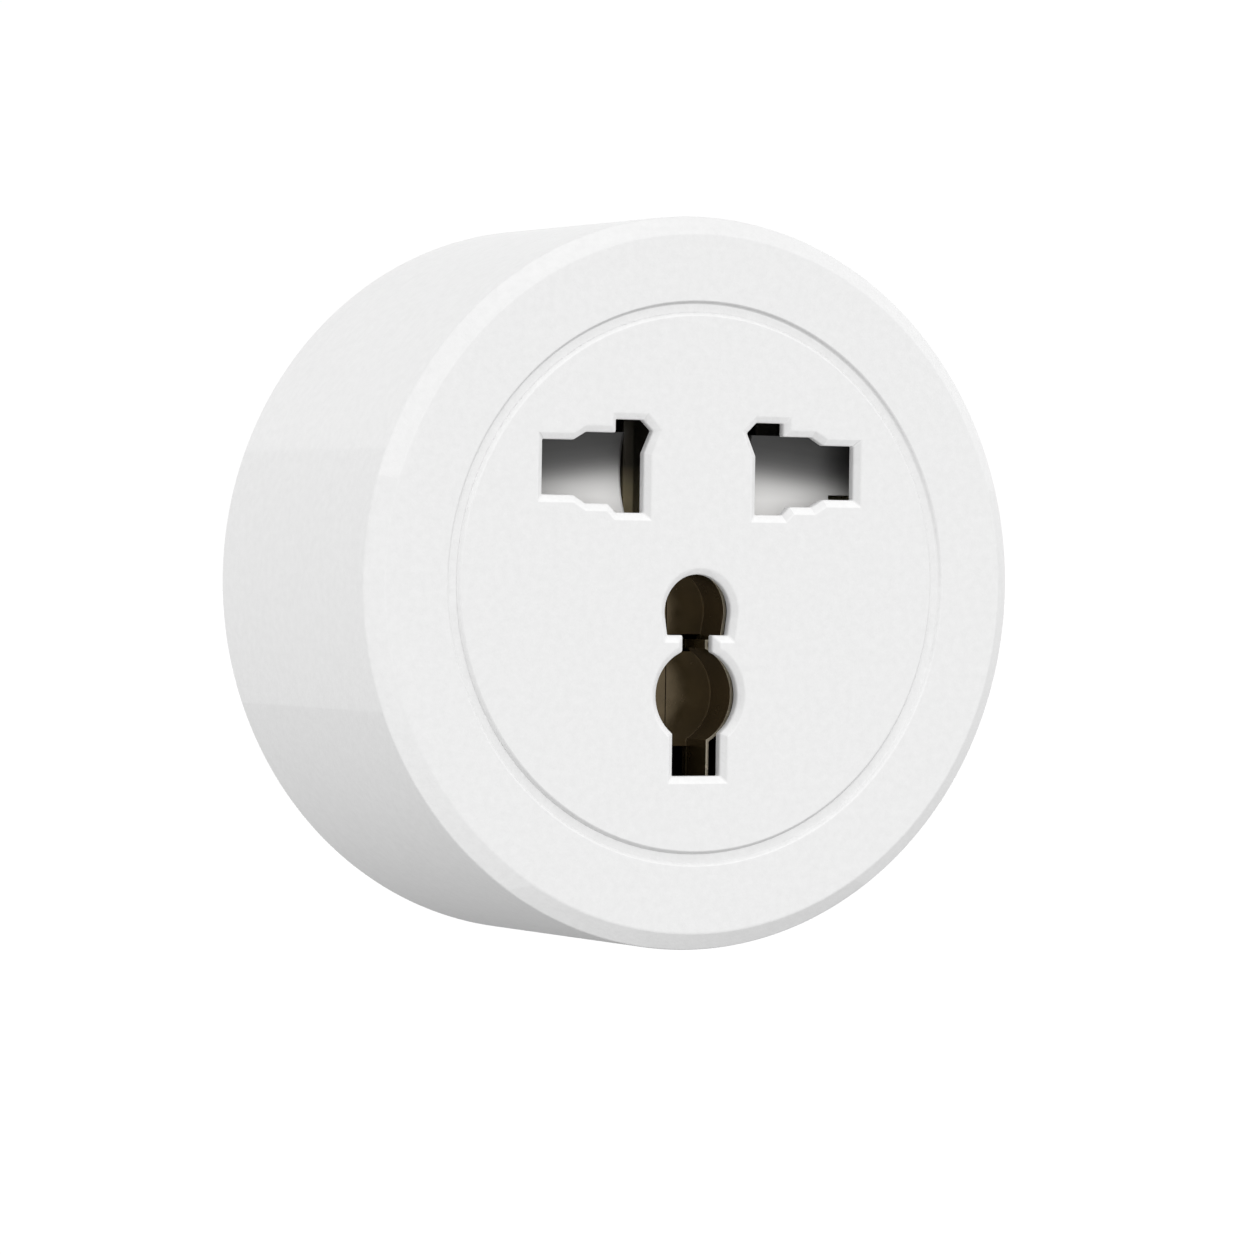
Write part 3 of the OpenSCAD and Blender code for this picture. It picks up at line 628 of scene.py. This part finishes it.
for side in ("left", "right"):
    makeShutter(side)
    spring = softCopy(side + "Spring", "spring_" + side, "zincPlate", 0)
    low, high, middle = boxOf("spring_" + side)
    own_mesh(spring)
softCopy("earthContact", "earth_contact", "earthSheetPaintedHighlights", 0.04)
softCopy("lineContact", "line_contact", "phosphorBronze", 0.08)
softCopy("neutralContact", "neutral_contact", "phosphorBronze", 0.08)
print("outlet ready")


softCopy("rearCover", "rear_cover", "smoothWhite", 0.15)
softCopy("pinPlate", "pin_plate", "filledNylon", 0.15)
for name in ("line", "neutral", "earth"):
    softCopy(name + "Pin", name + "_pin", "nickelPlate", 0)
for name in ("plate", "block", "cover"):
    softCopy(name + "Screws", name + "_screws", "zincPlate", 0.06)
print("plug ready")


# Finish, and how far the edges are rounded
inside = {
    "main_board": ("solderMask", 0.1), "relay": ("relayBlue", 0.4), "transformer_core": ("ferrite", 0.25),
    "transformer_coil": ("windingTape", 0.2), "bulk_capacitor_a": ("canSleeve", 0),
    "bulk_capacitor_b": ("canSleeve", 0), "line_capacitor": ("filmYellow", 0.5),
    "varistor": ("dippedBlue", 0.5), "fuse": ("lacquerGreen", 0.3), "line_choke": ("ferrite", 0.2),
    "shunt_strip": ("tinnedShunt", 0.1), "metering_chip": ("epoxyBlack", 0.06),
    "rectifier": ("epoxyBlack", 0.1), "supply_chip": ("epoxyBlack", 0.06),
    "control_board": ("solderMask", 0.08), "board_header": ("blackMoulding", 0.12),
    "radio_shield": ("zincPlate", 0.12), "tact_switch": ("epoxyBlack", 0.12),
    "switch_plunger": ("brownNylon", 0.15), "push_button": ("mouldedWhite", 0.15),
    "status_led": ("clearAcrylic", 0.12), "light_pipe": ("clearAcrylic", 0.08),
}
for node, (finish, width) in inside.items():
    words = node.split("_")
    softCopy(words[0] + "".join(word.capitalize() for word in words[1:]), node, finish, width)
print("inside ready")


studio = {
    "floorDrop": 0.25,
    "floorSize": 40,
    "floorGlow": 0.06,
    "paper": (0.97, 0.97, 0.97),
    "palerPaper": (0.98, 0.98, 0.98),
    "paperMottle": 200.0,               # mm
    "skyLevel": 1.1,                    # light from all round
    "skyLean": (-0.092, -0.152, 0.084), # more of it from this side
    "skyBand": (0.513, 0.582, -0.877),  # times height: a bright band low in front and high behind
    "backdrop": 1.02,
    "keyPower": 0.94,
    "keyFrom": (0, -0.22, 0.98),
    "keySpread": 40,                    # degrees
}


def makeFloor():
    bm = bmesh.new()
    bmesh.ops.create_circle(bm, cap_ends=True, segments=96, radius=studio["floorSize"])
    bmesh.ops.translate(bm, verts=bm.verts, vec=(0, 0, cadBox[0][2] - studio["floorDrop"]))
    mesh = bpy.data.meshes.new("studioFloor")
    bm.to_mesh(mesh)
    bm.free()
    floor = bpy.data.objects.new("studioFloor", mesh)
    bpy.context.scene.collection.objects.link(floor)
    tree, shader, coords = newFinish("palePaper")
    mottle = noise(tree, coords, studio["paperMottle"])
    tree.links.new(blendColours(tree, mottle, studio["paper"], studio["palerPaper"]),
                   shader.inputs["Base Color"])
    shader.inputs["Roughness"].default_value = 0.9
    shader.inputs["Specular IOR Level"].default_value = 0
    shader.inputs["Emission Color"].default_value = (1, 1, 1, 1)
    shader.inputs["Emission Strength"].default_value = studio["floorGlow"]
    floor.data.materials.append(finishes["palePaper"])
    floor.visible_diffuse = False
    floor.visible_glossy = False


def dotWith(tree, source, direction):
    node = tree.nodes.new("ShaderNodeVectorMath")
    node.operation = "DOT_PRODUCT"
    node.inputs[1].default_value = direction
    tree.links.new(source, node.inputs[0])
    return node.outputs["Value"]


# The camera sees an even backdrop, and the light leans to one side
def makeSky():
    world = bpy.data.worlds.new("studioSky")
    bpy.context.scene.world = world
    world.use_nodes = True
    tree = world.node_tree
    background = tree.nodes["Background"]
    coords = tree.nodes.new("ShaderNodeTexCoord")
    lean = dotWith(tree, coords.outputs["Generated"], studio["skyLean"])
    band = dotWith(tree, coords.outputs["Generated"], studio["skyBand"])
    height = dotWith(tree, coords.outputs["Generated"], (0, 0, 1))
    level = maths(tree, "ADD", maths(tree, "MULTIPLY", band, height), lean)
    level = maths(tree, "MAXIMUM", maths(tree, "ADD", level, studio["skyLevel"]), 0.0)
    path = tree.nodes.new("ShaderNodeLightPath")
    seen = tree.nodes.new("ShaderNodeMix")
    tree.links.new(path.outputs["Is Camera Ray"], seen.inputs["Factor"])
    tree.links.new(level, seen.inputs["A"])
    seen.inputs["B"].default_value = studio["backdrop"]
    tree.links.new(seen.outputs["Result"], background.inputs["Strength"])
    background.inputs["Color"].default_value = (1, 1, 1, 1)


def makeKey():
    lampData = bpy.data.lights.new("keyLamp", "SUN")
    lampData.energy = studio["keyPower"]
    lampData.angle = math.radians(studio["keySpread"])
    lamp = bpy.data.objects.new("keyLamp", lampData)
    lamp.rotation_euler = Vector(studio["keyFrom"]).to_track_quat("Z", "Y").to_euler()
    bpy.context.scene.collection.objects.link(lamp)


view = {
    "turn": 28.29,        # degrees round to the left of the outlet's axis
    "tilt": 1.14,         # degrees above it
    "distance": 493.4,    # to the middle of the outlet face
    "right": 6.42,        # how far right of the view's middle the outlet's middle lies
    "above": 3.77,        # and how far above it
    "lens": 162.69,
    "sensor": 36,
    "roll": 0.9,          # degrees the camera is turned anticlockwise about the outlet's axis
    "nearest": 0.01,      # metres
    "furthest": 200,
}


def makeCamera():
    turn, tilt = math.radians(view["turn"]), math.radians(view["tilt"])
    right = Vector((math.cos(turn), -math.sin(turn), 0))
    back = Vector((-math.cos(tilt) * math.sin(turn), -math.cos(tilt) * math.cos(turn), math.sin(tilt)))
    up = back.cross(right)
    face = Vector((0, frontY, 0))
    spot = face + (back * view["distance"] - right * view["right"] - up * view["above"]) * mm
    cameraData = bpy.data.cameras.new("studioCamera")
    cameraData.lens = view["lens"]
    cameraData.sensor_width = view["sensor"]
    cameraData.clip_start = view["nearest"]
    cameraData.clip_end = view["furthest"]
    camera = bpy.data.objects.new("studioCamera", cameraData)
    basis = Matrix((right, up, back)).transposed().to_4x4()
    roll = Matrix.Rotation(math.radians(-view["roll"]), 4, "Y")
    camera.matrix_world = roll @ Matrix.Translation(spot) @ basis
    bpy.context.scene.collection.objects.link(camera)
    bpy.context.scene.camera = camera


makeFloor()
makeSky()
makeKey()
makeCamera()
bpy.context.scene.view_settings.view_transform = "Standard"
print("studio ready")
